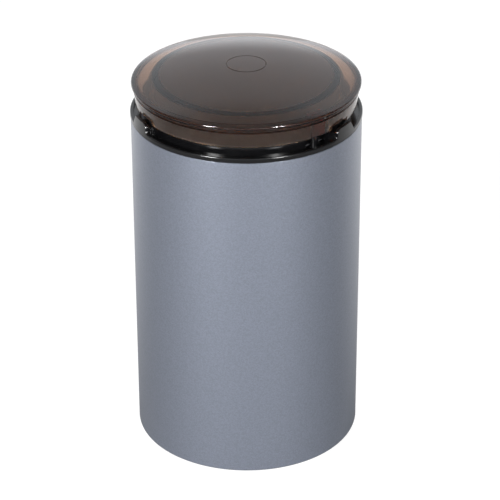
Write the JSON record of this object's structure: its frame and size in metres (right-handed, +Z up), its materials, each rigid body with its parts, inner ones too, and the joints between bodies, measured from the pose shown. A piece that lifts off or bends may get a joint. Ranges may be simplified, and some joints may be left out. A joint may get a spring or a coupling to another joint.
{
  "type": "electric spice grinder",
  "caption": "Cylindrical electric spice grinder: a smoked press-down lid works an inner switch through a push rod, and a bare motor shaft drives the blade in a steel bowl.",
  "frame": {"origin": "on the floor under the middle of the body, at the lowest face of the feet", "axes": "+Z up the body's axis, -Y towards the front, +X to the right seen from the front"},
  "size_m": [0.0964, 0.0964, 0.1697],
  "materials": {
    "sleeve_paint": "satin metallic blue-grey lacquer on the steel sleeve",
    "black_gloss": "glossy black moulded plastic",
    "black_matte": "fine-grained black moulded plastic",
    "smoked_lid": "polished smoked translucent plastic",
    "stainless": "spun and ground stainless steel",
    "zinc_steel": "bright zinc-plated steel",
    "rubber_black": "soft black rubber",
    "seal_grey": "translucent grey silicone",
    "lamination": "stacked electrical steel laminations",
    "copper_wire": "enamelled copper wire",
    "copper_bar": "bare turned copper",
    "bronze": "oil-soaked sintered bronze",
    "alloy": "pressure die-cast alloy",
    "carbon": "pressed carbon",
    "phenolic": "brown phenolic moulding",
    "nylon_white": "natural nylon",
    "fan_plastic": "black glass-filled nylon",
    "film_yellow": "yellow film capacitor case",
    "plunger_red": "red moulded plunger",
    "wire_brown": "brown wire insulation",
    "wire_blue": "blue wire insulation",
    "wire_black": "black wire insulation",
    "brass_tab": "plain stamped brass"
  },
  "bodies": {
    "housing": {"outer_sleeve": "sleeve_paint", "inner_housing": "black_matte", "collar": "black_gloss", "grinding_bowl": "stainless", "bowl_gasket": "seal_grey", "bowl_clamp_nut": "stainless", "shaft_seal": "rubber_black", "motor_carrier": "black_matte", "carrier_screws": "zinc_steel", "upper_bracket": "alloy", "lower_bracket": "alloy", "upper_bearing": "bronze", "lower_bearing": "bronze", "stator_core": "lamination", "field_coils": "copper_wire", "stator_bolts": "zinc_steel", "brush_holders": "phenolic", "carbon_brushes": "carbon", "brush_springs": "zinc_steel", "motor_dampers": "rubber_black", "motor_screws": "zinc_steel", "microswitch": "black_matte", "switch_terminals": "brass_tab", "switch_pin": "zinc_steel", "switch_screws": "zinc_steel", "base_cover": "black_matte", "base_screws": "zinc_steel", "feet": "rubber_black", "cord_gland": "rubber_black", "terminal_block": "nylon_white", "suppression_capacitor": "film_yellow", "lead_live": "wire_brown", "lead_neutral": "wire_blue", "lead_switched": "wire_black", "rod_spring": "stainless"},
    "push_rod": {"push_rod": "black_matte", "rod_clip": "stainless"},
    "lid": {"lid": "smoked_lid", "lid_seal": "seal_grey"},
    "rotor": {"drive_shaft": "stainless", "armature_core": "lamination", "armature_windings": "copper_wire", "commutator": "copper_bar", "cooling_fan": "fan_plastic", "thrust_washers": "nylon_white", "blade_hub": "stainless", "blade": "stainless", "blade_nut": "stainless"},
    "switch_lever": {"switch_lever": "stainless"},
    "switch_plunger": {"switch_plunger": "plunger_red"}
  },
  "joints": [
    {"name": "lid_press", "type": "slide", "parent": "housing", "child": "push_rod", "axis": [0, 0, 1], "range_m": [-0.003, 0], "stiffness_N_per_m": 600, "springref_m": 0.006, "deforming": ["rod_spring"]},
    {"name": "lid_lift", "type": "slide", "parent": "push_rod", "child": "lid", "axis": [0, 0, 1], "range_m": [0, 0.09]},
    {"name": "rotor_spin", "type": "hinge", "parent": "housing", "child": "rotor", "pos_m": [0, 0, 0.06], "axis": [0, 0, 1], "continuous": true},
    {"name": "lever_swing", "type": "hinge", "parent": "housing", "child": "switch_lever", "pos_m": [0.0217, -0.03687, 0.09191], "axis": [0.6947, -0.7193, 0], "range_deg": [-16, 0]},
    {"name": "plunger_slide", "type": "slide", "parent": "housing", "child": "switch_plunger", "axis": [0, 0, 1], "range_m": [-0.001, 0]}
  ],
  "couplings": [
    {"joint": "lever_swing", "follows": "lid_press", "rad_per_m": 90},
    {"joint": "plunger_slide", "follows": "lid_press", "ratio": 0.26667}
  ]
}
